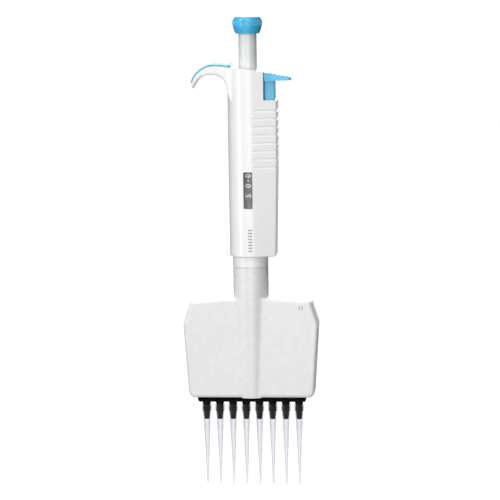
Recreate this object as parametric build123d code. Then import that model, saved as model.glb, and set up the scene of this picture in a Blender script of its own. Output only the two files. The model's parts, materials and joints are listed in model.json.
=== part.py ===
from build123d import *
import math
import os

# Eight-channel air-displacement pipette, 5 to 50 microlitres, with its eight tips fitted.
# Millimetres. +Z runs up the plunger, +X points to the ejector, -X to the finger hook,
# and the volume display faces -Y. The origin is the middle of the row of tip orifices.

# ---- Driving dimensions -------------------------------------------------------------

# Channels, on the 96-well plate grid
CHANNELS = 8
CHANNEL_PITCH = 9.0
CHANNEL_X = [(i - (CHANNELS - 1) / 2) * CHANNEL_PITCH for i in range(CHANNELS)]

# Travel of the plunger before it meets the blow-out spring
FIRST_STOP = 14.0

# Fits
RUNNING_GAP = 0.15
SEAT_GAP = 0.05

# Tips and nozzles
TIP_TOP = 55.6
TIP_RIM_R = 3.6
TIP_COLLAR_R = 3.3
TIP_BORE_R = 2.9
TIP_BEADS = [53.0, 54.6]
NOZZLE_LOW = 45.1
NOZZLE_SHOULDER = 50.7
NOZZLE_NECK_R = 2.4
NOZZLE_STEM_R = 2.78
NOZZLE_BODY_R = 2.9
NOZZLE_FLANGE_R = 3.3
NOZZLE_TOP = 80.0
AIR_R = 0.6
SEAL_RING_R = 2.75
SEAL_RING_WIDTH = 0.75
SEAL_RING_LEVELS = [51.3, 53.0]
SEAL_RING_HALF = 0.4
COMB_HOLE_R = 3.1

# Comb bar that strips the tips
BAR_LOW = 58.15
BAR_TOP = 60.6
BAR_HALF_TOP = 37.0
BAR_HALF_LOW = 36.0
BAR_DEPTH = 6.6

# Manifold covers
COVER_LOW = 61.3
COVER_WIDEST_Z = 111.5
COVER_SHOULDER_Z = 127.7
COVER_HALF_LOW = 42.35
COVER_HALF_WIDEST = 45.7
COVER_HALF_TOP = 40.4
COVER_DEPTH = 9.2
COVER_WALL = 1.8
COLUMN_R_LOW = 10.3
COLUMN_TOP = 134.0
FLANK_R = 7.0
NECK_R = 11.9
NECK_TOP = 150.5
COVER_GROOVES = [101.5, 104.3]
SCREW_PLACES = [(-34.0, 119.0), (34.0, 119.0), (-38.5, 74.0), (38.5, 74.0)]

# Inside the manifold
PLATE_LOW = 63.0
PLATE_TOP = 66.4
SEAL_PLATE_LOW = 82.05
SEAL_PLATE_TOP = 83.5
YOKE_LOW = 102.0
YOKE_TOP = 105.5
CUP_TOP = 108.5
CAP_TOP = 110.5
PISTON_R = 1.06
PISTON_LOW = 74.0
COLUMN_X = 18.0
COLUMN_PIN_R = 1.0
PUSH_ROD_X = 27.0
PUSH_ROD_R = 1.0
BRIDGE_LOW = 122.4
BRIDGE_TOP = 126.2
COMB_RING_TOP = 130.8

# Handle
HANDLE_LOW = 157.7
LEDGE_Z = 262.5
BARREL_R = 13.9
BORE_R = 12.0
UPPER_BORE_R = 8.9
HOUSING_X = 19.2
HOUSING_X_TOP = 19.5
HOUSING_X_LOW = 17.8
HOUSING_BEND_Z = 218.0
HOUSING_HALF = 9.0
HOUSING_CORNER_R = 1.2
STEP_WALL_X = 10.75
TOP_AT_AXIS = 283.1
TOP_SLOPE = 8.3
CHANNEL_HALF = 4.6
CHANNEL_X_LOW = 10.8
CHANNEL_X_HIGH = 18.4

# Grip grooves
GROOVE_PITCH = 5.38
GROOVE_TOP_Z = 256.1
FRONT_GROOVES = 8
REAR_GROOVES = 17
GROOVE_RISE = 0.3
GROOVE_FALL = 1.5
GROOVE_DEPTH = 0.4

# Display window and counter
WINDOW_HALF = 3.05
WINDOW_LOW = 190.5
WINDOW_TOP = 215.2
DRUM_PITCH = 6.75
DRUM_HEIGHT = 6.6
DRUM_R = 11.3
DRUM_BORE_R = 8.75
CORE_R = 8.6
CORE_BORE_R = 6.1
DRUM_TENTHS_LOW = 209.3
DRUM_TEETH = 20
DRUM_TOOTH_TOP = 11.55
PINION_X = 12.2
PINION_Y = 6.6
PINION_TEETH = 8
PINION_R = 2.1
PINION_ROOT_R = 1.4
AXLE_R = 0.8

# Plunger, button and thrust rod
ROD_R = 2.0
ROD_TOP = 309.5
ROD_LOW = 106.0
MAIN_SPRING_TOP = 228.0
STOP_LOW = 183.5
PLUNGER_R = 6.035
PLUNGER_LOW = 262.0
BUTTON_LOW = 306.7
BUTTON_TOP = 318.1
BUTTON_R = 9.65
BUTTON_LOW_R = 8.0
BUTTON_TOP_R = 8.4
KNURL_LOW = 311.8
KNURL_TOP = 315.6
KNURLS = 54
KNURL_R = 0.32

# Ejector
PAD_LEFT = 11.0
PAD_TIP = 29.5
PAD_TOP_LEFT = 281.2
PAD_HALF = 7.0
PAD_RIBS = 5
ARM_LOW = 171.0
ARM_TOP = 173.8
SLEEVE_R = 9.4
SLEEVE_BORE_R = 7.65
SLEEVE_LOW = 131.0
PIN_X = 14.9
PIN_R = 1.5

BASE = (Align.CENTER, Align.CENTER, Align.MIN)


# ---- Shape helpers ------------------------------------------------------------------

def post(radius, low, high, x=0.0, y=0.0):
    """Upright cylinder between two heights."""
    return Pos(x, y, low) * Cylinder(radius, high - low, align=BASE)


def sleeve(outer, inner, low, high, x=0.0, y=0.0):
    """Upright tube between two heights."""
    return post(outer, low, high, x, y) - post(inner, low - 1, high + 1, x, y)


def block(x_low, x_high, y_low, y_high, z_low, z_high):
    """Box from its six limits."""
    size = (x_high - x_low, y_high - y_low, z_high - z_low)
    middle = ((x_low + x_high) / 2, (y_low + y_high) / 2, (z_low + z_high) / 2)
    return Pos(*middle) * Box(*size)


def turned(points, x=0.0):
    """Solid of revolution about an upright axis, from (radius, height) points."""
    outline = Polyline(*[(r, 0, z) for r, z in points], close=True)
    return Pos(x, 0, 0) * revolve(make_face(outline), Axis.Z, 360)


def side_profile(face, half_width):
    """Face drawn in the XZ plane, thickened to both sides of it."""
    return extrude(face, half_width, dir=(0, 1, 0), both=True)


def coil(radius, wire_r, low, high, turns, x=0.0):
    """Round-wire compression spring whose wire stays between two heights."""
    height = high - low - 2 * wire_r
    path = Pos(x, 0, low + wire_r) * Helix(height / turns, height, radius)
    section = Plane(path @ 0, z_dir=path % 0) * Circle(wire_r)
    return sweep(section, path, is_frenet=True)


def toothed_wheel(tip_r, root_r, teeth, low, high):
    """Simple toothed disc with a wedge-shaped tooth at each step."""
    step = 360 / teeth
    wheel = post(root_r, low, high)
    half = math.pi * tip_r / teeth
    tooth_outline = Polyline(
        (root_r * 0.9, -half * 0.75),
        (tip_r, -half * 0.4),
        (tip_r, half * 0.4),
        (root_r * 0.9, half * 0.75),
        close=True,
    )
    tooth = Pos(0, 0, low) * extrude(make_face(tooth_outline), high - low, dir=(0, 0, 1))
    return wheel + [Rot(0, 0, i * step) * tooth for i in range(teeth)]


# ---- Tips, nozzles and comb ---------------------------------------------------------

def tip():
    """Disposable tip: slender cone, ribbed shank and a beaded collar with a rim."""
    outside = [(0.5, 0), (1.3, 21.0), (1.8, 33.2), (1.95, 36.6), (2.25, 43.8), (2.5, 50.2),
               (TIP_COLLAR_R, 51.1)]
    for level in TIP_BEADS:
        outside += [(TIP_COLLAR_R, level - 0.3), (TIP_COLLAR_R + 0.2, level - 0.1),
                    (TIP_COLLAR_R + 0.2, level + 0.1), (TIP_COLLAR_R, level + 0.3)]
    outside += [(TIP_COLLAR_R, TIP_TOP - 0.6), (TIP_RIM_R, TIP_TOP - 0.5), (TIP_RIM_R, TIP_TOP)]
    inside = [(TIP_BORE_R, TIP_TOP), (TIP_BORE_R, 50.9), (2.35, 50.3), (1.95, 43.8), (1.62, 36.6),
              (1.45, 33.2), (0.24, 0)]
    body = turned(outside + inside)
    fin_outline = Polyline((1.75, 0, 36.9), (2.15, 0, 37.5), (2.8, 0, 50.9), (2.6, 0, 50.9), close=True)
    fin = side_profile(make_face(fin_outline), 0.2)
    return body + [Rot(0, 0, 22.5 + i * 45) * fin for i in range(8)]


def nozzle():
    """Tip cone, stem and piston cylinder in one turned part, with two ring grooves."""
    groove_r = SEAL_RING_R - SEAL_RING_WIDTH
    outside = [(AIR_R, NOZZLE_LOW), (1.3, NOZZLE_LOW), (1.65, NOZZLE_LOW + 0.2), (1.8, NOZZLE_LOW + 0.6),
               (2.15, NOZZLE_SHOULDER - 0.3), (NOZZLE_NECK_R, NOZZLE_SHOULDER)]
    for level in SEAL_RING_LEVELS:
        low = level - SEAL_RING_HALF
        high = level + SEAL_RING_HALF
        outside += [(NOZZLE_NECK_R, low), (groove_r, low), (groove_r, high), (NOZZLE_NECK_R, high)]
    outside += [(NOZZLE_NECK_R, TIP_TOP + 0.2), (NOZZLE_STEM_R, TIP_TOP + 0.5), (NOZZLE_STEM_R, 61.6),
                (NOZZLE_BODY_R, 61.9), (NOZZLE_BODY_R, PLATE_TOP + SEAT_GAP),
                (NOZZLE_FLANGE_R, PLATE_TOP + SEAT_GAP), (NOZZLE_FLANGE_R, PLATE_TOP + 1.6),
                (NOZZLE_BODY_R, PLATE_TOP + 1.6), (NOZZLE_BODY_R, NOZZLE_TOP)]
    inside = [(PISTON_R + 0.1, NOZZLE_TOP), (PISTON_R + 0.1, 55.5), (AIR_R, 55.0)]
    return turned(outside + inside)


def seal_rings():
    """Two rings on each nozzle that seal against the tip's bore."""
    rings = []
    for x in CHANNEL_X:
        for level in SEAL_RING_LEVELS:
            low = level - SEAL_RING_HALF
            high = level + SEAL_RING_HALF
            inner = SEAL_RING_R - SEAL_RING_WIDTH
            rings.append(turned([(inner, low), (SEAL_RING_R - 0.25, low), (SEAL_RING_R, low + 0.25),
                                 (SEAL_RING_R, high - 0.25), (SEAL_RING_R - 0.25, high), (inner, high)], x))
    return rings


def comb_bar():
    """Bar with eight holes around the nozzle stems, wider at its top face."""
    outline = Polyline((-BAR_HALF_LOW, 0, BAR_LOW), (BAR_HALF_LOW, 0, BAR_LOW), (BAR_HALF_TOP, 0, BAR_TOP),
                       (-BAR_HALF_TOP, 0, BAR_TOP), close=True)
    bar = side_profile(make_face(outline), BAR_DEPTH)
    bar = chamfer(bar.edges().filter_by(Axis.X), 0.5)
    return bar - [post(COMB_HOLE_R, BAR_LOW - 1, BAR_TOP + 1, x) for x in CHANNEL_X]


def comb_bridge():
    """Plate that carries the ejector's push from the neck out to the two push rods."""
    bridge = post(SLEEVE_R, BRIDGE_LOW, BRIDGE_TOP) + block(-28.8, 28.8, -3.6, 3.6, BRIDGE_LOW, BRIDGE_TOP)
    bridge += sleeve(SLEEVE_R, SLEEVE_BORE_R, BRIDGE_TOP, COMB_RING_TOP)
    bridge -= post(ROD_R + 0.6, BRIDGE_LOW - 1, BRIDGE_TOP + 1)
    for side in (-1, 1):
        bridge -= post(COLUMN_PIN_R + RUNNING_GAP, BRIDGE_LOW - 1, BRIDGE_TOP + 1, side * COLUMN_X)
        bridge -= post(PUSH_ROD_R + SEAT_GAP, BRIDGE_LOW - 1, BRIDGE_LOW + 2.5, side * PUSH_ROD_X)
    return bridge


def push_rods():
    """Two rods from the bridge down to the comb bar."""
    return [post(PUSH_ROD_R, BAR_TOP, BRIDGE_LOW + 2.4, side * PUSH_ROD_X) for side in (-1, 1)]


# ---- Manifold -----------------------------------------------------------------------

def corners_at(face, height):
    """Corners of an upright face at one height."""
    return [corner for corner in face.vertices() if abs(corner.Z - height) < 0.01]


def cover_outline(inset):
    """Face of the covers in the XZ plane: narrow foot, wide waist and sloped shoulders."""
    low = COVER_LOW + (0 if inset == 0 else -1)
    top = COVER_SHOULDER_Z - inset
    points = [
        (COVER_HALF_LOW - inset, low),
        (COVER_HALF_WIDEST - inset, COVER_WIDEST_Z),
        (COVER_HALF_TOP - inset, top),
        (NECK_R - 1, top + 2.0),
    ]
    loop = [(x, 0, z) for x, z in points] + [(-x, 0, z) for x, z in reversed(points)]
    face = make_face(Polyline(*loop, close=True))
    face = fillet(corners_at(face, COVER_WIDEST_Z), 6.0)
    face = fillet(corners_at(face, top), max(3.4 - inset, 1.5))
    if inset == 0:
        face = fillet(corners_at(face, low), 4.6)
    return face


def column_radius(z):
    """Radius of the column that runs on from the neck and narrows down the covers."""
    return COLUMN_R_LOW + (NECK_R - COLUMN_R_LOW) * (z - COVER_LOW) / (COLUMN_TOP - COVER_LOW)


def flank_section(z):
    """Plan of the hollow curves that lead from the flat of a cover up onto the column."""
    radius = column_radius(z)
    middle_y = -(COVER_DEPTH + FLANK_R)
    middle_x = math.sqrt((radius + FLANK_R) ** 2 - middle_y ** 2)
    touch = radius / (radius + FLANK_R)
    foot = (middle_x, -COVER_DEPTH)
    crest = (middle_x * touch, middle_y * touch)
    halfway = (math.pi / 2 + math.atan2(crest[1] - middle_y, crest[0] - middle_x)) / 2
    bend = (middle_x + FLANK_R * math.cos(halfway), middle_y + FLANK_R * math.sin(halfway))
    mirrored = [(-x, y) for x, y in (crest, bend, foot)]
    back = -COVER_DEPTH + 0.8
    return Pos(0, 0, z) * make_face([
        ThreePointArc(foot, bend, crest),
        Line(crest, mirrored[0]),
        ThreePointArc(*mirrored),
        Polyline(mirrored[2], (-middle_x, back), (middle_x, back), foot),
    ])


def flanks():
    """Hollow curves on both sides of the column, on the front and the rear."""
    front = loft([flank_section(COVER_LOW - 2), flank_section(COLUMN_TOP)], ruled=True)
    front &= side_profile(cover_outline(0), 2 * COVER_DEPTH)
    return front + mirror(front, about=Plane.XZ)


def manifold_shell():
    """Both covers and the neck as one hollow body, before it is parted."""
    slab = side_profile(cover_outline(0), COVER_DEPTH)
    faces = [e for e in slab.edges() if abs(abs(e.center().Y) - COVER_DEPTH) < 0.01]
    slab = fillet([e for e in faces if e.center().Z > COVER_LOW + 0.5], 2.4)
    outside = slab + turned([(0, COVER_LOW), (COLUMN_R_LOW, COVER_LOW), (NECK_R, COLUMN_TOP),
                             (NECK_R, NECK_TOP), (0, NECK_TOP)])
    outside += flanks()
    cavity = side_profile(cover_outline(COVER_WALL), COVER_DEPTH - COVER_WALL)
    cavity += turned([(0, COVER_LOW - 1), (COLUMN_R_LOW - 1.3, COVER_LOW - 1), (NECK_R - 1.9, 125.0),
                      (10.55, 131.0), (10.55, NECK_TOP + 1), (0, NECK_TOP + 1)])
    cavity += post(11.3, 141.7, 144.3)
    return outside - cavity


def front_cover(shell):
    """Front half, with a blind screw boss at each screw and two faint grooves on each side."""
    cover = shell & block(-60, 60, -20, 0, 50, 160)
    for side in (-1, 1):
        for z in COVER_GROOVES:
            limits = sorted((side * 14.0, side * 40.4))
            cover -= block(*limits, -10, -COVER_DEPTH + 0.1, z - 0.2, z + 0.2)
    for x, z in SCREW_PLACES:
        boss = Pos(x, -(COVER_DEPTH - 1) / 2, z) * Rot(90, 0, 0) * Cylinder(2.8, COVER_DEPTH - 1)
        cover += boss
        cover -= Pos(x, -3.5, z) * Rot(90, 0, 0) * Cylinder(1.3, 7.1)
    return cover


def rear_cover(shell):
    """Rear half, with a counterbored boss at each screw."""
    cover = shell & block(-60, 60, 0, 20, 50, 160)
    for x, z in SCREW_PLACES:
        boss = Pos(x, (COVER_DEPTH - 1) / 2, z) * Rot(90, 0, 0) * Cylinder(3.4, COVER_DEPTH - 1)
        cover += boss
        cover -= Pos(x, COVER_DEPTH / 2, z) * Rot(90, 0, 0) * Cylinder(1.4, COVER_DEPTH + 2)
        cover -= Pos(x, COVER_DEPTH - 1, z) * Rot(90, 0, 0) * Cylinder(2.6, 4.0)
    return cover


def cover_screws():
    """Pan-head screws from the back, each with a cross-shaped recess."""
    screws = []
    head_low = COVER_DEPTH - 3.0 + SEAT_GAP
    for x, z in SCREW_PLACES:
        screw = Pos(x, head_low + 0.9, z) * Rot(90, 0, 0) * Cylinder(2.4, 1.8)
        screw += Pos(x, head_low / 2 - 3.0, z) * Rot(90, 0, 0) * Cylinder(1.25, head_low + 6.0)
        for turn in (0, 90):
            screw -= Pos(x, head_low + 1.5, z) * Rot(0, turn, 0) * Box(2.4, 0.8, 0.55)
        screws.append(screw)
    return screws


def nozzle_plate():
    """Plate that the nozzles, the guide columns and the push rods pass through."""
    plate = block(-37.6, 37.6, -6.9, 6.9, PLATE_LOW, PLATE_TOP)
    plate = fillet(plate.edges().filter_by(Axis.Z), 2.0)
    plate -= [post(NOZZLE_BODY_R + SEAT_GAP, PLATE_LOW - 1, PLATE_TOP + 1, x) for x in CHANNEL_X]
    for side in (-1, 1):
        plate -= post(PUSH_ROD_R + RUNNING_GAP, PLATE_LOW - 1, PLATE_TOP + 1, side * PUSH_ROD_X)
        plate -= post(COLUMN_PIN_R + SEAT_GAP, PLATE_TOP - 2, PLATE_TOP + 1, side * COLUMN_X)
    return plate


def guide_columns():
    """Two steel pins that the yoke and the comb bridge slide on."""
    return [post(COLUMN_PIN_R, PLATE_TOP - 1.9, 122.0, side * COLUMN_X) for side in (-1, 1)]


def piston_seals():
    """Soft ring on top of each cylinder."""
    top = SEAL_PLATE_LOW - SEAT_GAP
    return [sleeve(NOZZLE_BODY_R, PISTON_R + 0.1, NOZZLE_TOP, top, x) for x in CHANNEL_X]


def seal_plate():
    """Thin plate that keeps the piston seals down."""
    plate = block(-35.4, 35.4, -4.5, 4.5, SEAL_PLATE_LOW, SEAL_PLATE_TOP)
    plate -= [post(PISTON_R + 0.3, SEAL_PLATE_LOW - 1, SEAL_PLATE_TOP + 1, x) for x in CHANNEL_X]
    for side in (-1, 1):
        plate -= post(PUSH_ROD_R + 0.3, SEAL_PLATE_LOW - 1, SEAL_PLATE_TOP + 1, side * PUSH_ROD_X)
        plate -= post(COLUMN_PIN_R + SEAT_GAP, SEAL_PLATE_LOW - 1, SEAL_PLATE_TOP + 1, side * COLUMN_X)
    return plate


def yoke_plate():
    """Cross bar that drives the eight pistons, with a cup for the thrust rod's disc."""
    yoke = block(-35.2, 35.2, -4.6, 4.6, YOKE_LOW, YOKE_TOP) + post(6.2, YOKE_LOW, CUP_TOP)
    yoke -= post(4.3, YOKE_TOP + 0.3, CUP_TOP + 1)
    yoke -= [post(PISTON_R + SEAT_GAP, YOKE_LOW - 1, YOKE_LOW + 2.1, x) for x in CHANNEL_X]
    for side in (-1, 1):
        yoke -= post(PUSH_ROD_R + 0.4, YOKE_LOW - 1, YOKE_TOP + 1, side * PUSH_ROD_X)
        yoke -= post(COLUMN_PIN_R + RUNNING_GAP, YOKE_LOW - 1, YOKE_TOP + 1, side * COLUMN_X)
    return yoke


def pistons():
    """Eight steel pistons with their heads in the yoke."""
    return [post(PISTON_R, PISTON_LOW, YOKE_LOW + 2.0, x) for x in CHANNEL_X]


# ---- Handle -------------------------------------------------------------------------

def handle_section(shrink=0.0, reach=HOUSING_X):
    """Round barrel drawn out to the flat-faced ejector housing on its right."""
    inner = reach - HOUSING_CORNER_R
    corner = HOUSING_HALF - HOUSING_CORNER_R
    circles = Circle(BARREL_R - shrink).edges()
    for side in (-1, 1):
        circles += (Pos(inner, side * corner) * Circle(max(HOUSING_CORNER_R - shrink, 0.2))).edges()
    return make_hull(circles)


def tapered_handle():
    """Handle up to its ledge: the housing's flat side draws in towards the foot."""
    foot = Pos(0, 0, HANDLE_LOW) * handle_section(reach=HOUSING_X_LOW)
    bend = Pos(0, 0, HOUSING_BEND_Z) * handle_section()
    ledge = Pos(0, 0, LEDGE_Z) * handle_section(reach=HOUSING_X_TOP)
    return loft([foot, bend], ruled=True) + loft([bend, ledge], ruled=True)


def sloped_top():
    """Everything above the handle's slanted top face."""
    return Pos(0, 0, TOP_AT_AXIS) * Rot(0, TOP_SLOPE, 0) * Pos(0, 0, 30) * Box(160, 80, 60)


HOOK_TOP_LINE = [(-9.0, 285.5), (-16.6, 286.2), (-21.4, 286.5), (-24.8, 286.3), (-29.0, 285.0),
                 (-33.1, 282.2), (-35.8, 279.3), (-37.3, 276.6), (-37.85, 274.6)]
HOOK_UNDER_LINE = [(-36.2, 270.8), (-34.5, 274.0), (-32.2, 276.9), (-29.0, 278.9), (-24.9, 279.7),
                   (-21.3, 279.4), (-17.7, 277.8), (-15.2, 275.4), (-13.95, 272.4), (-13.4, 268.5),
                   (-12.4, 264.5), (-11.0, 260.5), (-9.4, 256.5)]
PAD_THICKNESS = 1.1
HOOK_EDGE_R = 1.6
PAD_END_X = -12.2


def inset_line(points, distance):
    """Open line moved to its left by a distance, seen along its run towards -X."""
    moved = []
    last = len(points) - 1
    for i, (x, z) in enumerate(points):
        before = points[max(i - 1, 0)]
        after = points[min(i + 1, last)]
        run = math.hypot(after[0] - before[0], after[1] - before[1])
        shift_x = -(after[1] - before[1]) / run * distance
        shift_z = (after[0] - before[0]) / run * distance
        moved.append((x + shift_x, z + shift_z))
    return moved


def hook_width():
    """Plan of the finger hook: wide at the barrel, rounded and narrower at its end."""
    outline = Polyline((0, -9.6), (0, 9.6), (-14, 9.3), (-30, 7.8), (-39, 6.4), (-39, -6.4), (-30, -7.8),
                       (-14, -9.3), close=True)
    return Pos(0, 0, 255) * extrude(make_face(outline), 45, dir=(0, 0, 1))


def is_under_edge(edge):
    """True for the long edges along the hook's inner curve."""
    middle = edge @ 0.5
    return edge.length > 15 and abs(middle.Y) > 4 and middle.Z < 281


def finger_hook():
    """Curved hook that hangs on the index finger."""
    top = [(x, 0, z) for x, z in inset_line(HOOK_TOP_LINE, PAD_THICKNESS)]
    under = [(x, 0, z) for x, z in HOOK_UNDER_LINE]
    end = Spline(top[-1], (-37.15, 0, 271.6), (-36.75, 0, 270.75), under[0])
    upper = Spline(*top)
    lower = Spline(*under)
    close = Polyline(under[-1], (-4.0, 0, 256.0), (-4.0, 0, 283.0), top[0])
    hook = side_profile(make_face([upper, end, lower, close]), 12) & hook_width()
    inner_curve = [edge for edge in hook.edges() if is_under_edge(edge)]
    return fillet(inner_curve, HOOK_EDGE_R)


def above_hook():
    """Space over the hook's bare top, where the pad lies."""
    top = [(x, 0, z) for x, z in inset_line(HOOK_TOP_LINE, PAD_THICKNESS)]
    frame = Polyline(top[-1], (-60, 0, top[-1][2]), (-60, 0, 300), (top[0][0], 0, 300), top[0])
    return side_profile(make_face([Spline(*top), frame]), 20)


def hook_pad():
    """Thin soft pad along the top of the hook, with a rounded stop at its inner end."""
    outer = [(x, 0, z) for x, z in HOOK_TOP_LINE]
    inner = [(x, 0, z) for x, z in inset_line(HOOK_TOP_LINE, PAD_THICKNESS - SEAT_GAP)]
    edges = [Spline(*outer), Line(outer[-1], inner[-1]), Spline(*inner), Line(inner[0], outer[0])]
    pad = side_profile(make_face(edges), 12) & hook_width() & block(-50, PAD_END_X, -20, 20, 260, 300)
    stop = Pos(PAD_END_X, 0, 285.35) * Rot(90, 0, 0) * Cylinder(0.95, 17.6)
    stop &= block(-20, 0, -12, 12, 285.08, 290)
    return pad + stop


def groove_cutter():
    """Ring with a steep top and a long lower slope, which cuts one grip groove into the skin."""
    section = handle_section()
    low = Pos(0, 0, -GROOVE_FALL) * handle_section()
    high = Pos(0, 0, GROOVE_RISE) * handle_section()
    middle = handle_section(GROOVE_DEPTH)
    slab = Pos(0, 0, -GROOVE_FALL) * extrude(offset(section, 1.0), GROOVE_FALL + GROOVE_RISE, dir=(0, 0, 1))
    return slab - loft([low, middle], ruled=True) - loft([middle, high], ruled=True)


def handle_outside():
    """Handle without its bores: barrel, housing, slanted top and hook."""
    low = tapered_handle()
    low = fillet([e for e in low.edges() if abs(e.center().Z - HANDLE_LOW) < 0.01], 1.0)
    upper = Pos(0, 0, LEDGE_Z) * extrude(handle_section(), 30, dir=(0, 0, 1))
    upper &= block(-20, STEP_WALL_X, -20, 20, LEDGE_Z, LEDGE_Z + 30)
    upper -= sloped_top()
    slant = sloped_top() & block(HOOK_TOP_LINE[0][0], 30, -20, 20, 270, 300)
    return low + upper + finger_hook() - slant - above_hook()


def base_outline(gap):
    """Plan of the plate that closes the housing from below."""
    height = 1.8 - gap
    plan = block(9.0, 16.8 - gap, -4.9 + gap, 4.9 - gap, 0, height)
    return plan + post(3.1 - gap, 0, height, PINION_X, PINION_Y)


def handle_shell():
    """Moulded handle body, bored for the mechanism and open to the ejector channel."""
    shell = handle_outside()
    cutter = groove_cutter()
    front_zone = block(3.2, 30, -30, 30, 160, 262)
    rear_zone = block(-30, 3.0, 1.5, 30, 160, 262)
    grooves = [Pos(0, 0, GROOVE_TOP_Z - i * GROOVE_PITCH) * cutter for i in range(REAR_GROOVES)]
    shell -= [groove & front_zone for groove in grooves[:FRONT_GROOVES]]
    shell -= [groove & rear_zone for groove in grooves]
    shell -= post(BORE_R, HANDLE_LOW - 1, LEDGE_Z - 1.5)
    shell -= post(UPPER_BORE_R, LEDGE_Z - 2, 277.0)
    shell -= post(7.45, 276, 300)
    shell -= block(CHANNEL_X_LOW, CHANNEL_X_HIGH, -CHANNEL_HALF, CHANNEL_HALF, 236.0, LEDGE_Z + 0.01)
    shell -= block(CHANNEL_X_LOW, 18.0, -3.4, 3.4, 189.0, 240.0)
    shell -= block(CHANNEL_X_LOW, 17.65, -3.4, 3.4, 176.0, 190.0)
    shell -= block(9.0, 17.05, -3.4, 3.4, HANDLE_LOW + 1.7, 174.0)
    shell -= post(PIN_R + RUNNING_GAP, 173, 177, PIN_X)
    shell -= post(2.6, HANDLE_LOW - 1, 218.0, PINION_X, PINION_Y)
    shell -= post(AXLE_R + SEAT_GAP, 217, 222, PINION_X, PINION_Y)
    shell -= Pos(0, 0, HANDLE_LOW - 0.01) * base_outline(0)
    window = block(-WINDOW_HALF, WINDOW_HALF, -20, -8, WINDOW_LOW, WINDOW_TOP)
    return shell - fillet(window.edges().filter_by(Axis.Y), 0.9)


def display_window():
    """Clear curved lens in the window opening."""
    pane = block(-WINDOW_HALF + SEAT_GAP, WINDOW_HALF - SEAT_GAP, -20, -8, WINDOW_LOW + SEAT_GAP,
                 WINDOW_TOP - SEAT_GAP)
    pane = fillet(pane.edges().filter_by(Axis.Y), 0.85)
    return pane & sleeve(BARREL_R - 0.3, BORE_R + 0.1, WINDOW_LOW - 1, WINDOW_TOP + 1)


def base_plate():
    """Plate that closes the housing from below, flush with the handle's foot."""
    plate = Pos(0, 0, HANDLE_LOW) * base_outline(SEAT_GAP)
    return plate - post(BORE_R + SEAT_GAP, HANDLE_LOW - 1, HANDLE_LOW + 3)


def neck_collar():
    """Collar screwed into the handle's foot, with the flange that the covers turn on."""
    flange_low = NECK_TOP + 0.2
    return turned([(9.65, 140.5), (10.4, 140.5), (10.4, 142.0), (11.1, 142.0), (11.1, 144.0), (10.4, 144.0),
                   (10.4, flange_low), (NECK_R, flange_low), (NECK_R, HANDLE_LOW + 2.8), (9.65, HANDLE_LOW + 2.8)])


def top_bush():
    """Guide ring for the plunger in the handle's top."""
    return turned([(6.2, 274.9), (8.8, 274.9), (8.8, 276.9), (7.4, 276.9), (7.4, 281.2), (6.2, 281.2)])


# ---- Volume setting and counter -----------------------------------------------------

def counter_frame():
    """Core that the drums turn on, with a floor for the main spring and an ear for the axle."""
    frame = sleeve(CORE_R, CORE_BORE_R, 188.0, 215.7) + post(BORE_R - SEAT_GAP, 186.5, 188.9)
    frame += post(2.4, 186.5, 188.9, PINION_X, PINION_Y)
    frame -= block(11.0, 20, -5, 4.1, 180, 195)
    frame -= post(ROD_R + 0.3, 186, 190)
    return frame - post(AXLE_R + SEAT_GAP, 186, 190, PINION_X, PINION_Y)


def drum(low, ring_teeth, carry_teeth):
    """Number drum: plain band, with a toothed rim above and a carry tooth pair below."""
    body = sleeve(DRUM_R, DRUM_BORE_R, low, low + DRUM_HEIGHT)
    if ring_teeth:
        rim_low = low + DRUM_HEIGHT - 1.5
        rim = toothed_wheel(DRUM_TOOTH_TOP, DRUM_R, DRUM_TEETH, rim_low, low + DRUM_HEIGHT)
        body += rim - post(DRUM_BORE_R, rim_low - 1, low + DRUM_HEIGHT + 1)
    if carry_teeth:
        for turn in (-60, -42):
            body += Rot(0, 0, turn) * block(DRUM_R - 0.3, DRUM_TOOTH_TOP, -0.5, 0.5, low, low + 1.5)
    return body


def drum_tenths():
    """Fastest drum, with three sockets for the drive sleeve's pins."""
    body = drum(DRUM_TENTHS_LOW, False, True)
    top = DRUM_TENTHS_LOW + DRUM_HEIGHT
    return body - [Rot(0, 0, i * 120) * post(0.65, top - 2.2, top + 1, 10.0) for i in range(3)]


def drive_sleeve():
    """Sleeve that the plunger tube slides in and turns, with the lead screw outside."""
    low = DRUM_TENTHS_LOW + DRUM_HEIGHT + RUNNING_GAP
    body = turned([(6.3, low), (11.0, low), (11.0, low + 1.8), (7.9, low + 1.8), (7.9, 222.0), (8.6, 222.6),
                   (8.6, 261.4), (7.9, 262.0), (7.9, 274.6), (6.3, 274.6)])
    body += [Rot(0, 0, i * 120) * post(0.6, low - 2.0, low + 0.5, 10.0) for i in range(3)]
    slot = block(-7.1, 7.1, -1.15, 1.15, 241.0, 269.0)
    return body - slot


def volume_nut():
    """Ring that the lead screw moves down as the set volume falls."""
    body = sleeve(10.5, 8.75, 250.0, 258.0)
    for side in (-1, 1):
        body += block(-1.9, 1.9, min(side * 9.5, side * 11.6), max(side * 9.5, side * 11.6), 250.0, 258.0)
    return body - post(8.75, 249, 259)


def nut_guide():
    """Slotted tube that keeps the volume nut from turning."""
    guide = sleeve(BORE_R - SEAT_GAP, 10.7, 222.0, 260.9)
    guide -= block(-2.05, 2.05, -20, 20, 234.0, 261.0)
    return guide - block(10.6, 20, -20, 20, 220, 262)


def pinion_axle():
    """Thin steel axle beside the drums."""
    return post(AXLE_R, 186.6, 221.5, PINION_X, PINION_Y)


def carry_pinion(boundary_z):
    """Small pinion that reaches over the joint between two drums."""
    wheel = toothed_wheel(PINION_R, PINION_ROOT_R, PINION_TEETH, boundary_z - 2.2, boundary_z + 2.2)
    wheel -= post(AXLE_R + 0.1, boundary_z - 4, boundary_z + 4)
    return Pos(PINION_X, PINION_Y, 0) * wheel


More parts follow.
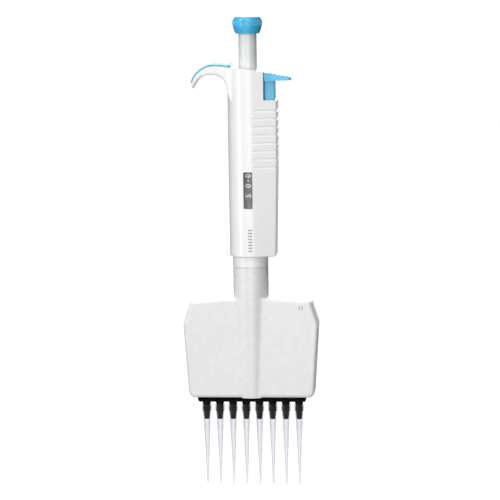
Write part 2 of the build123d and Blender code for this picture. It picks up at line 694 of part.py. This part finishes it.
def spring_tube():
    """Fixed tube below the counter, closed at its foot under the blow-out spring."""
    tube = sleeve(7.4, 5.6, 158.0, 186.4) + post(7.4, 158.0, 160.5)
    return tube - post(ROD_R + 0.3, 157, 162)


# ---- Plunger and button -------------------------------------------------------------

def thrust_rod():
    """Steel rod from the button to the yoke, ending in the disc that the yoke's cup holds."""
    return post(ROD_R, ROD_LOW, ROD_TOP) + post(4.0, ROD_LOW, ROD_LOW + 2.3)


def rod_collars():
    """Upper collar that the main spring lifts, and lower one that meets the blow-out spring."""
    return [sleeve(5.6, ROD_R + SEAT_GAP, MAIN_SPRING_TOP, MAIN_SPRING_TOP + 3.5),
            sleeve(5.0, ROD_R + SEAT_GAP, STOP_LOW, STOP_LOW + 2.4)]


def plunger_tube():
    """White tube under the button, with two lugs that slide in the drive sleeve."""
    tube = sleeve(PLUNGER_R, 4.6, PLUNGER_LOW, BUTTON_LOW + 2.0)
    lugs = block(-6.75, 6.75, -0.95, 0.95, PLUNGER_LOW, PLUNGER_LOW + 4.0)
    return tube + (lugs - post(4.6, PLUNGER_LOW - 1, PLUNGER_LOW + 5))


def push_button():
    """Push button with a knurled band, turned by the fingers to set the volume."""
    flank = Spline((BUTTON_LOW_R, 0, BUTTON_LOW), (9.1, 0, 309.4), (BUTTON_R, 0, KNURL_LOW + 0.8),
                   (BUTTON_R, 0, KNURL_TOP - 1.2), (9.2, 0, 317.0), (BUTTON_TOP_R, 0, BUTTON_TOP - 0.15))
    inside = Polyline(flank @ 1, (7.2, 0, BUTTON_TOP - 0.15), (7.2, 0, 316.4), (2.2, 0, 316.4),
                      (2.2, 0, BUTTON_LOW), flank @ 0)
    skin = revolve(make_face([flank, inside]), Axis.Z, 360)
    rib = post(KNURL_R, KNURL_LOW, KNURL_TOP, BUTTON_R - 0.05)
    ribs = [Rot(0, 0, i * 360 / KNURLS) * rib for i in range(KNURLS)]
    return skin + ribs - sleeve(PLUNGER_R + SEAT_GAP, 4.6 - SEAT_GAP, BUTTON_LOW - 1, BUTTON_LOW + 2.05)


def button_cap():
    """Slightly domed disc let into the button's top."""
    cap = turned([(0, 316.45), (7.1, 316.45), (7.1, 317.75), (6.4, 318.0), (0, BUTTON_TOP)])
    return cap


# ---- Ejector ------------------------------------------------------------------------

def ejector_pad():
    """Thumb pad that overhangs to the right, with cross ribs on its sloped top."""
    outline = Polyline((PAD_LEFT, 0, 275.2), (26.5, 0, 275.5), (28.9, 0, 275.8), (PAD_TIP, 0, 276.9),
                       (28.9, 0, 277.8), (27.0, 0, 278.25), (PAD_LEFT, 0, PAD_TOP_LEFT), close=True)
    pad = side_profile(make_face(outline), PAD_HALF)
    plan = block(PAD_LEFT, PAD_TIP + 1, -PAD_HALF, PAD_HALF, 270, 290)
    pad &= fillet(plan.edges().filter_by(Axis.Z).sort_by(Axis.X)[-2:], 4.0)
    slope = math.degrees(math.atan2(PAD_TOP_LEFT - 278.25, 27.0 - PAD_LEFT))
    rib = fillet(Box(1.5, 2 * PAD_HALF - 2.4, 1.2).edges().filter_by(Axis.Y), 0.45)
    for step in range(PAD_RIBS):
        x = PAD_LEFT + 4.6 + step * 2.75
        top = PAD_TOP_LEFT - (x - PAD_LEFT) * math.tan(math.radians(slope))
        pad += Pos(x, 0, top - 0.25) * Rot(0, slope, 0) * rib
    return pad


def ejector_rod():
    """Push rod in the handle's channel: broad blade above, slim shank and pin below."""
    blade = block(PAD_LEFT, 18.2, -4.3, 4.3, 247.0, 275.2)
    blade = fillet(blade.edges().filter_by(Axis.Z), 1.0)
    shank = block(13.0, 17.8, -3.0, 3.0, 200.0, 247.0)
    return blade + shank + post(PIN_R, ARM_TOP - 2.0, 200.0, PIN_X)


def ejector_arm():
    """Ring round the spring tube with a lug that the rod's pin is pressed into."""
    arm = post(10.4, ARM_LOW, ARM_TOP) + block(5.0, 16.9, -3.0, 3.0, ARM_LOW, ARM_TOP)
    arm -= post(SLEEVE_BORE_R, ARM_LOW - 1, ARM_TOP + 1)
    return arm - post(PIN_R + SEAT_GAP, ARM_TOP - 2.05, ARM_TOP + 1, PIN_X)


def ejector_sleeve():
    """Tube down the neck that passes the push on to the comb at any swivel angle."""
    return sleeve(SLEEVE_R, SLEEVE_BORE_R, SLEEVE_LOW, ARM_LOW)


# ---- All nodes ----------------------------------------------------------------------

def all_nodes():
    """Every separate piece, under the name of its node."""
    shell = manifold_shell()
    one_tip = tip()
    one_nozzle = nozzle()
    nodes = {
        "handle_shell": handle_shell(),
        "hook_pad": hook_pad(),
        "display_window": display_window(),
        "base_plate": base_plate(),
        "neck_collar": neck_collar(),
        "top_bush": top_bush(),
        "counter_frame": counter_frame(),
        "pinion_axle": pinion_axle(),
        "nut_guide": nut_guide(),
        "spring_tube": spring_tube(),
        "drum_blank": drum(DRUM_TENTHS_LOW - 3 * DRUM_PITCH, False, False),
        "drum_tens": drum(DRUM_TENTHS_LOW - 2 * DRUM_PITCH, True, False),
        "drum_units": drum(DRUM_TENTHS_LOW - DRUM_PITCH, True, True),
        "drum_tenths": drum_tenths(),
        "carry_pinion_tens": carry_pinion(DRUM_TENTHS_LOW - DRUM_PITCH),
        "carry_pinion_units": carry_pinion(DRUM_TENTHS_LOW),
        "drive_sleeve": drive_sleeve(),
        "volume_nut": volume_nut(),
        "main_spring": coil(4.7, 0.45, 188.9, MAIN_SPRING_TOP, 9),
        "blowout_spring": coil(4.0, 0.6, 160.5, STOP_LOW - FIRST_STOP, 4),
        "ejector_spring": coil(2.2, 0.35, 176.0, 200.0, 9, PIN_X),
        "thrust_rod": thrust_rod(),
        "rod_collars": rod_collars(),
        "plunger_tube": plunger_tube(),
        "push_button": push_button(),
        "button_cap": button_cap(),
        "ejector_pad": ejector_pad(),
        "ejector_rod": ejector_rod(),
        "ejector_arm": ejector_arm(),
        "ejector_sleeve": ejector_sleeve(),
        "comb_bar": comb_bar(),
        "comb_bridge": comb_bridge(),
        "push_rods": push_rods(),
        "front_cover": front_cover(shell),
        "rear_cover": rear_cover(shell),
        "cover_screws": cover_screws(),
        "nozzle_plate": nozzle_plate(),
        "guide_columns": guide_columns(),
        "piston_seals": piston_seals(),
        "seal_plate": seal_plate(),
        "seal_rings": seal_rings(),
        "yoke_plate": yoke_plate(),
        "coupling_cap": sleeve(6.2, ROD_R + 0.5, CUP_TOP + SEAT_GAP, CAP_TOP),
        "pistons": pistons(),
    }
    for number, x in enumerate(CHANNEL_X, start=1):
        nodes[f"nozzle_{number}"] = Pos(x, 0, 0) * one_nozzle
        nodes[f"tip_{number}"] = Pos(x, 0, 0) * one_tip
    return nodes


def write_nodes(folder):
    """One STEP file for each node."""
    os.makedirs(folder, exist_ok=True)
    for name, shape in all_nodes().items():
        if isinstance(shape, list):
            shape = Compound(children=shape)
        export_step(shape, os.path.join(folder, f"{name}.step"))


write_nodes("parts")
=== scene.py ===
"""Looks of the eight-channel pipette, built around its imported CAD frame. Lengths are in metres."""

import json
import math

import bmesh
import bpy
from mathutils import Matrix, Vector


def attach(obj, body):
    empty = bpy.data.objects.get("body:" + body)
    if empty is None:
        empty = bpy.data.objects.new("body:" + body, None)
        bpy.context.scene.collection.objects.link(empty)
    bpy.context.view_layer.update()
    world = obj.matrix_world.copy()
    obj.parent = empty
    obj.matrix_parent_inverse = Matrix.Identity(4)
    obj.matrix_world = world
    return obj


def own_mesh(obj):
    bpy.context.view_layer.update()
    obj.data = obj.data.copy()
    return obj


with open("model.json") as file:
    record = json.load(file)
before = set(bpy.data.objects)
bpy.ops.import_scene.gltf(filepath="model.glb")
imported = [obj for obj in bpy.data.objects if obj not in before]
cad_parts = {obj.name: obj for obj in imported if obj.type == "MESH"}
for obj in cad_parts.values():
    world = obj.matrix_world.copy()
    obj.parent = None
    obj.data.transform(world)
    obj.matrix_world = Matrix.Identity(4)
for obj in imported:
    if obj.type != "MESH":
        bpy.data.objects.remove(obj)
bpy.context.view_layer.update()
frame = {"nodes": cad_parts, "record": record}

MM = 0.001
NODES = frame["nodes"]

# ---- Materials ----------------------------------------------------------------------


def new_material(name):
    """Node material with its tree and its shader, which is linked to the output."""
    material = bpy.data.materials.new(name)
    material.use_nodes = True
    tree = material.node_tree
    shader = tree.nodes["Principled BSDF"]
    return material, tree, shader


def object_noise(tree, scale, detail=3.0, roughness=0.5, stretch=(1, 1, 1)):
    """Noise fixed to the piece, with its size set by scale."""
    coordinates = tree.nodes.new("ShaderNodeTexCoord")
    mapping = tree.nodes.new("ShaderNodeMapping")
    mapping.inputs["Scale"].default_value = stretch
    texture = tree.nodes.new("ShaderNodeTexNoise")
    texture.inputs["Scale"].default_value = scale
    texture.inputs["Detail"].default_value = detail
    texture.inputs["Roughness"].default_value = roughness
    tree.links.new(coordinates.outputs["Object"], mapping.inputs["Vector"])
    tree.links.new(mapping.outputs["Vector"], texture.inputs["Vector"])
    return texture.outputs["Fac"]


def spread(tree, factor, low, high):
    """Value that runs from low to high as a noise factor runs over its middle range."""
    node = tree.nodes.new("ShaderNodeMapRange")
    node.inputs["From Min"].default_value = 0.3
    node.inputs["From Max"].default_value = 0.7
    node.inputs["To Min"].default_value = low
    node.inputs["To Max"].default_value = high
    tree.links.new(factor, node.inputs["Value"])
    return node.outputs["Result"]


def blend_colours(tree, factor, first, second):
    """Mix of two colours by a factor."""
    node = tree.nodes.new("ShaderNodeMix")
    node.data_type = "RGBA"
    node.inputs["A"].default_value = (*first, 1)
    node.inputs["B"].default_value = (*second, 1)
    tree.links.new(factor, node.inputs["Factor"])
    return node.outputs["Result"]


def add_bump(tree, shader, height, strength, depth):
    """Bump of a given depth in metres on a shader."""
    bump = tree.nodes.new("ShaderNodeBump")
    bump.inputs["Strength"].default_value = strength
    bump.inputs["Distance"].default_value = depth
    tree.links.new(height, bump.inputs["Height"])
    tree.links.new(bump.outputs["Normal"], shader.inputs["Normal"])


GRAIN_DEPTH = 0.05 * MM
MARK_DEPTH = 0.01 * MM
GLOW_REACH = 0.6 * MM


def moulded(
    name, colour, roughness, grain=1500.0, grain_strength=0.06, gloss=0.5, depth_glow=0.0, coat=0.0
):
    """Moulded plastic: fine spark-eroded grain, uneven sheen and a trace of colour drift."""
    material, tree, shader = new_material(name)
    drift = spread(tree, object_noise(tree, 25.0, 2.0), 0, 1)
    dark = tuple(channel * 0.965 for channel in colour)
    tree.links.new(blend_colours(tree, drift, dark, colour), shader.inputs["Base Color"])
    smear = object_noise(tree, 140.0, 4.0, 0.6)
    sheen = spread(tree, smear, roughness * 0.86, roughness * 1.14)
    tree.links.new(sheen, shader.inputs["Roughness"])
    fine = object_noise(tree, grain, 2.0)
    add_bump(tree, shader, fine, grain_strength, GRAIN_DEPTH)
    shader.inputs["Specular IOR Level"].default_value = gloss
    shader.inputs["Subsurface Weight"].default_value = depth_glow
    shader.inputs["Subsurface Radius"].default_value = (0.8, 0.8, 0.8)
    shader.inputs["Subsurface Scale"].default_value = GLOW_REACH
    shader.inputs["Coat Weight"].default_value = coat
    shader.inputs["Coat Roughness"].default_value = 0.12
    return material


def turned_metal(name, colour, roughness, stretch=(1, 1, 40)):
    """Metal with fine turning or drawing marks."""
    material, tree, shader = new_material(name)
    marks = object_noise(tree, 900.0, 3.0, 0.6, stretch)
    dull = tuple(channel * 0.8 for channel in colour)
    tone = blend_colours(tree, spread(tree, marks, 0, 1), dull, colour)
    tree.links.new(tone, shader.inputs["Base Color"])
    sheen = spread(tree, marks, roughness * 0.7, roughness * 1.3)
    tree.links.new(sheen, shader.inputs["Roughness"])
    add_bump(tree, shader, marks, 0.15, MARK_DEPTH)
    shader.inputs["Metallic"].default_value = 1.0
    return material


def thin_film(name, see_through, cloud_and_outline_shade, face_share, edge_share, roughness):
    """Thin clear plastic: see-through where it faces the eye; towards its outline it turns more
    opaque, and what shows through is darkened by painted shade.
    """
    material, tree, shader = new_material(name)
    # Random cloud in the surface colour, between the clear tone and the outline shade tone.
    cloud = spread(tree, object_noise(tree, 160.0, 2.0), 0, 1)
    tree.links.new(blend_colours(tree, cloud, cloud_and_outline_shade, see_through), shader.inputs["Base Color"])
    shader.inputs["Roughness"].default_value = roughness
    clear = tree.nodes.new("ShaderNodeBsdfTransparent")
    facing = tree.nodes.new("ShaderNodeLayerWeight")
    facing.inputs["Blend"].default_value = 0.25
    # Painted shade: the see-through tint darkens to the outline colour as the surface turns away
    # from the eye.
    tint = blend_colours(tree, facing.outputs["Facing"], see_through, cloud_and_outline_shade)
    tree.links.new(tint, clear.inputs["Color"])
    share = tree.nodes.new("ShaderNodeMapRange")
    share.inputs["To Min"].default_value = face_share
    share.inputs["To Max"].default_value = edge_share
    tree.links.new(facing.outputs["Facing"], share.inputs["Value"])
    mix = tree.nodes.new("ShaderNodeMixShader")
    tree.links.new(share.outputs["Result"], mix.inputs["Fac"])
    tree.links.new(clear.outputs["BSDF"], mix.inputs[1])
    tree.links.new(shader.outputs["BSDF"], mix.inputs[2])
    tree.links.new(mix.outputs["Shader"], tree.nodes["Material Output"].inputs["Surface"])
    return material


def make_materials():
    """One material for each slot of the record, and the inks."""
    return {
        "handle_white": moulded("handle_white", (0.95, 0.95, 0.952), 0.24, depth_glow=0.1),
        "manifold_white": moulded("manifold_white", (0.835, 0.835, 0.838), 0.27, depth_glow=0.1),
        "plunger_white": moulded(
            "plunger_white", (0.80, 0.805, 0.80), 0.24,
            grain=2200.0, grain_strength=0.03, depth_glow=0.1,
        ),
        "bearing_white": moulded("bearing_white", (0.80, 0.80, 0.77), 0.42),
        "pinion_white": moulded("pinion_white", (0.78, 0.78, 0.75), 0.42),
        "frame_grey": moulded("frame_grey", (0.16, 0.17, 0.18), 0.5),
        "drum_grey": moulded(
            "drum_grey", (0.235, 0.235, 0.235), 0.4, grain=2600.0, grain_strength=0.05
        ),
        "accent_blue": moulded("accent_blue", (0.06, 0.50, 0.81), 0.28, coat=0.4),
        "accent_blue_soft": moulded(
            "accent_blue_soft", (0.085, 0.47, 0.76), 0.5, grain=2600.0, grain_strength=0.12
        ),
        "comb_black": moulded("comb_black", (0.001, 0.001, 0.001), 0.5, gloss=0.06),
        "nozzle_black": moulded("nozzle_black", (0.002, 0.002, 0.003), 0.4, gloss=0.12),
        "seal_black": moulded(
            "seal_black", (0.004, 0.004, 0.004), 0.6, grain=3000.0, grain_strength=0.1, gloss=0.2
        ),
        "steel": turned_metal("steel", (0.62, 0.63, 0.64), 0.28),
        "brass": turned_metal("brass", (0.73, 0.55, 0.26), 0.3),
        "aluminium": turned_metal("aluminium", (0.76, 0.77, 0.78), 0.35, stretch=(40, 1, 1)),
        # The second colour of each clear plastic is painted shade towards its outline, and one end
        # of its random cloud.
        "clear_lens": thin_film(
            "clear_lens", see_through=(0.96, 0.965, 0.965), cloud_and_outline_shade=(0.85, 0.86, 0.86),
            face_share=0.02, edge_share=0.2, roughness=0.08,
        ),
        "tip_clear": thin_film(
            "tip_clear", see_through=(0.945, 0.942, 0.955), cloud_and_outline_shade=(0.72, 0.72, 0.75),
            face_share=0.012, edge_share=0.22, roughness=0.16,
        ),
        "ink_grey": moulded("ink_grey", (0.36, 0.37, 0.38), 0.45),
        "ink_white": moulded("ink_white", (0.97, 0.97, 0.97), 0.4),
    }


def paint_nodes(materials):
    """Gives every CAD node the material of its slot in the record."""
    for entry in frame["record"]["subparts"]:
        mesh = NODES[entry["node"]].data
        mesh.materials.clear()
        mesh.materials.append(materials[entry["material_slot"]])


# ---- Marks and digits ---------------------------------------------------------------

# Counter drums, each with ten digits, the tenths drum at the top
DRUM_R = 11.3 * MM
DRUM_PITCH = 6.75 * MM
TENTHS_Z = 212.6 * MM
DIGIT_STEP = math.radians(36)
FRONT = math.radians(-90)

# A printed digit, and the cuts across it that let it bend round its drum
DIGIT_SIZE = 5.2 * MM
DIGIT_BOLDNESS = 0.014 * DIGIT_SIZE
CUT_PITCH = 0.35 * MM
CUTS_EACH_WAY = 6
INK = 0.03 * MM

# Decimal point, under the lens and between the two upper drums
POINT_Z = 209.35 * MM
POINT_SIZE = (0.9 * MM, 0.9 * MM)
POINT_R = 12.08 * MM

# Bars at the foot of the barrel, one for each channel
BAR_COUNT = 8
BAR_X = 1.0 * MM
BAR_Z = 162.2 * MM
BAR_PITCH = 2.0 * MM
BAR_SIZE = (2.6 * MM, 0.9 * MM)
BARREL_R = 13.9 * MM

# Pair of upright bars on the front cover
PAIR_X = 33.9 * MM
PAIR_FROM_MIDDLE = 0.9 * MM
PAIR_HALF_WIDTH = 0.35 * MM
PAIR_LOW = 121.6 * MM
PAIR_TOP = 124.2 * MM
COVER_FACE_Y = -9.2 * MM


def new_piece(name, shape, body, material):
    """Object made of a bmesh, which it uses up, riding on a body."""
    mesh = bpy.data.meshes.new(name)
    shape.to_mesh(mesh)
    shape.free()
    mesh.materials.append(material)
    piece = bpy.data.objects.new(name, mesh)
    bpy.context.scene.collection.objects.link(piece)
    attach(piece, body)


def digit_shape(character):
    """Flat bmesh of one digit, centred, cut across so that it can follow a drum."""
    curve = bpy.data.curves.new("digit", "FONT")
    curve.body = character
    curve.size = DIGIT_SIZE
    curve.extrude = INK
    curve.offset = DIGIT_BOLDNESS
    curve.align_x = "CENTER"
    text = bpy.data.objects.new("digit", curve)
    bpy.context.scene.collection.objects.link(text)
    evaluated = text.evaluated_get(bpy.context.evaluated_depsgraph_get())
    mesh = bpy.data.meshes.new_from_object(evaluated)
    bpy.data.objects.remove(text)
    shape = bmesh.new()
    shape.from_mesh(mesh)
    heights = [vertex.co.y for vertex in shape.verts]
    middle = (min(heights) + max(heights)) / 2
    bmesh.ops.translate(shape, verts=shape.verts, vec=(0, -middle, 0))
    for cut in range(-CUTS_EACH_WAY, CUTS_EACH_WAY + 1):
        every_part = shape.verts[:] + shape.edges[:] + shape.faces[:]
        place = (0, cut * CUT_PITCH, 0)
        bmesh.ops.bisect_plane(shape, geom=every_part, plane_co=place, plane_no=(0, 1, 0))
    return shape


def ring_of_digits(name, body, height, digits, material):
    """Ten digits round a drum, lying on their side so that the display reads upwards."""
    ring = bmesh.new()
    for place, character in enumerate(digits):
        shape = digit_shape(character)
        for vertex in shape.verts:
            along, up, out = vertex.co
            angle = FRONT + place * DIGIT_STEP - up / DRUM_R
            radius = DRUM_R + INK + out
            vertex.co = (radius * math.cos(angle), radius * math.sin(angle), height + along)
        single = bpy.data.meshes.new("digit")
        shape.to_mesh(single)
        shape.free()
        ring.from_mesh(single)
    new_piece(name, ring, body, material)


def make_digits(ink):
    """Counter digits, 50.0 microlitres at rest. A step of the tenths drum is half a microlitre."""
    falling = [str(-step % 10) for step in range(10)]
    halves = ["0", "5"] * 5
    tens = falling[5:] + falling[:5]
    ring_of_digits("digits_tenths", "volume_drive", TENTHS_Z, halves, ink)
    ring_of_digits("digits_units", "units_drum", TENTHS_Z - DRUM_PITCH, falling, ink)
    ring_of_digits("digits_tens", "tens_drum", TENTHS_Z - 2 * DRUM_PITCH, tens, ink)


def curved_bar(shape, centre, size, radius, columns=6):
    """Patch on the front of an upright cylinder, added to a bmesh. Centre is across and up."""
    rows = []
    for end in (-0.5, 0.5):
        row = []
        for column in range(columns + 1):
            x = centre[0] + size[0] * (column / columns - 0.5)
            y = -math.sqrt(radius ** 2 - x ** 2)
            row.append(shape.verts.new((x, y, centre[1] + size[1] * end)))
        rows.append(row)
    low, high = rows
    for column in range(columns):
        shape.faces.new((low[column], low[column + 1], high[column + 1], high[column]))


def make_marks(white_ink, grey_ink):
    """Plain printed marks: decimal point, a bar for each channel and a pair of bars."""
    point = bmesh.new()
    curved_bar(point, (0, POINT_Z), POINT_SIZE, POINT_R)
    new_piece("decimal_point", point, "handle", white_ink)

    bars = bmesh.new()
    for step in range(BAR_COUNT):
        curved_bar(bars, (BAR_X, BAR_Z + step * BAR_PITCH), BAR_SIZE, BARREL_R + INK)
    new_piece("handle_bars", bars, "handle", grey_ink)

    pair = bmesh.new()
    for side in (-1, 1):
        middle = PAIR_X + side * PAIR_FROM_MIDDLE
        left = middle - PAIR_HALF_WIDTH
        right = middle + PAIR_HALF_WIDTH
        corners = [(left, PAIR_LOW), (right, PAIR_LOW), (right, PAIR_TOP), (left, PAIR_TOP)]
        pair.faces.new([pair.verts.new((x, COVER_FACE_Y - INK, z)) for x, z in corners])
    new_piece("cover_mark", pair, "manifold", grey_ink)


# ---- Springs ------------------------------------------------------------------------

# Node, joint that presses it, height of its fixed foot, free length and how much it gives
SPRINGS = [
    ("main_spring", "plunger_press", 188.9, 39.1, 18.0),
    ("blowout_spring", "plunger_press", 160.5, 9.0, 4.0),
    ("ejector_spring", "ejector_press", 176.0, 24.0, 10.0),
]


def press_springs():
    """Gives each coil spring node a mesh of its own."""
    for node, joint, foot, length, travel in SPRINGS:
        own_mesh(NODES[node])


# ---- Stage --------------------------------------------------------------------------

FLOOR_DROP = 45 * MM
FLOOR_R = 40
AIM = Vector((0, 0, 160 * MM))


def make_floor():
    """Large pale floor a little below the tips, kept out of the light on the pipette."""
    mesh = bpy.data.meshes.new("floor")
    shape = bmesh.new()
    bmesh.ops.create_circle(shape, cap_ends=True, segments=96, radius=FLOOR_R)
    shape.to_mesh(mesh)
    shape.free()
    floor = bpy.data.objects.new("floor", mesh)
    floor.location = (0, 0, -FLOOR_DROP)
    floor.visible_diffuse = False
    floor.visible_glossy = False
    bpy.context.scene.collection.objects.link(floor)
    material, tree, shader = new_material("pale_floor")
    cloud = object_noise(tree, 3.0, 2.0)
    tone = blend_colours(tree, spread(tree, cloud, 0, 1), (0.04, 0.04, 0.04), (0.05, 0.05, 0.05))
    tree.links.new(tone, shader.inputs["Base Color"])
    shader.inputs["Emission Color"].default_value = (1, 1, 1, 1)
    shader.inputs["Emission Strength"].default_value = 0.97
    shader.inputs["Roughness"].default_value = 0.9
    mesh.materials.append(material)


# Share of the way across from left to right, and how bright the surround is there
WORLD_TONES = [(0.0, 0.04), (0.24, 0.10), (0.40, 0.88), (0.58, 0.88), (0.69, 0.04), (1.0, 0.04)]


def make_world():
    """Soft surround, bright in front, behind and overhead and dim at both sides."""
    world = bpy.data.worlds.new("studio")
    world.use_nodes = True
    tree = world.node_tree
    background = tree.nodes["Background"]
    coordinates = tree.nodes.new("ShaderNodeTexCoord")
    axes = tree.nodes.new("ShaderNodeSeparateXYZ")
    across = tree.nodes.new("ShaderNodeMapRange")
    across.inputs["From Min"].default_value = -1.0
    ramp = tree.nodes.new("ShaderNodeValToRGB")
    stops = ramp.color_ramp.elements
    while len(stops) < len(WORLD_TONES):
        stops.new(0.5)
    for stop, (place, tone) in zip(stops, WORLD_TONES):
        stop.position = place
        stop.color = (tone, tone, tone, 1)
    tree.links.new(coordinates.outputs["Generated"], axes.inputs["Vector"])
    tree.links.new(axes.outputs["X"], across.inputs["Value"])
    tree.links.new(across.outputs["Result"], ramp.inputs["Fac"])
    tree.links.new(ramp.outputs["Color"], background.inputs["Color"])
    bpy.context.scene.world = world


def area_light(name, place, size, power):
    """Soft rectangular light aimed at the middle of the pipette."""
    data = bpy.data.lights.new(name, "AREA")
    data.shape = "RECTANGLE"
    data.size, data.size_y = size
    data.energy = power
    light = bpy.data.objects.new(name, data)
    light.location = place
    light.rotation_euler = (AIM - Vector(place)).to_track_quat("-Z", "Y").to_euler()
    light.visible_camera = False
    bpy.context.scene.collection.objects.link(light)


def make_lights():
    """Four soft lights. The strip at the front left draws the highlight down the barrel."""
    area_light("strip_light", (-1.22, -1.03, 0.45), (0.26, 1.6), 12.5)
    area_light("front_light", (0.4, -2.17, 0.5), (1.4, 1.8), 20)
    area_light("overhead_light", (0.0, -0.1, 1.9), (2.0, 2.0), 24)
    area_light("top_glare_light", (0.0, 2.2, 0.62), (1.8, 0.7), 20)


CAMERA_AZIMUTH = math.radians(5.0)
CAMERA_ELEVATION = math.radians(8.0)
CAMERA_ROLL = math.radians(-0.85)
CAMERA_DISTANCE = 1.5
CAMERA_LENS = 160.26
FRAME_SHIFT = (-0.0012, 0.0034)


def make_camera():
    """Long lens a little above and to the right of the front, rolled slightly."""
    data = bpy.data.cameras.new("camera")
    data.lens = CAMERA_LENS
    data.shift_x, data.shift_y = FRAME_SHIFT
    data.clip_start = 0.05
    data.clip_end = 100
    camera = bpy.data.objects.new("camera", data)
    away = Vector((
        math.sin(CAMERA_AZIMUTH) * math.cos(CAMERA_ELEVATION),
        -math.cos(CAMERA_AZIMUTH) * math.cos(CAMERA_ELEVATION),
        math.sin(CAMERA_ELEVATION),
    ))
    camera.location = AIM + away * CAMERA_DISTANCE
    camera.rotation_euler = (-away).to_track_quat("-Z", "Y").to_euler()
    camera.rotation_euler.rotate_axis("Z", CAMERA_ROLL)
    bpy.context.scene.collection.objects.link(camera)
    bpy.context.scene.camera = camera


# ---- Build --------------------------------------------------------------------------

bpy.context.scene.view_settings.view_transform = "Standard"
make_camera()
make_world()
make_lights()
make_floor()
materials = make_materials()
paint_nodes(materials)
make_digits(materials["ink_white"])
make_marks(materials["ink_white"], materials["ink_grey"])
press_springs()
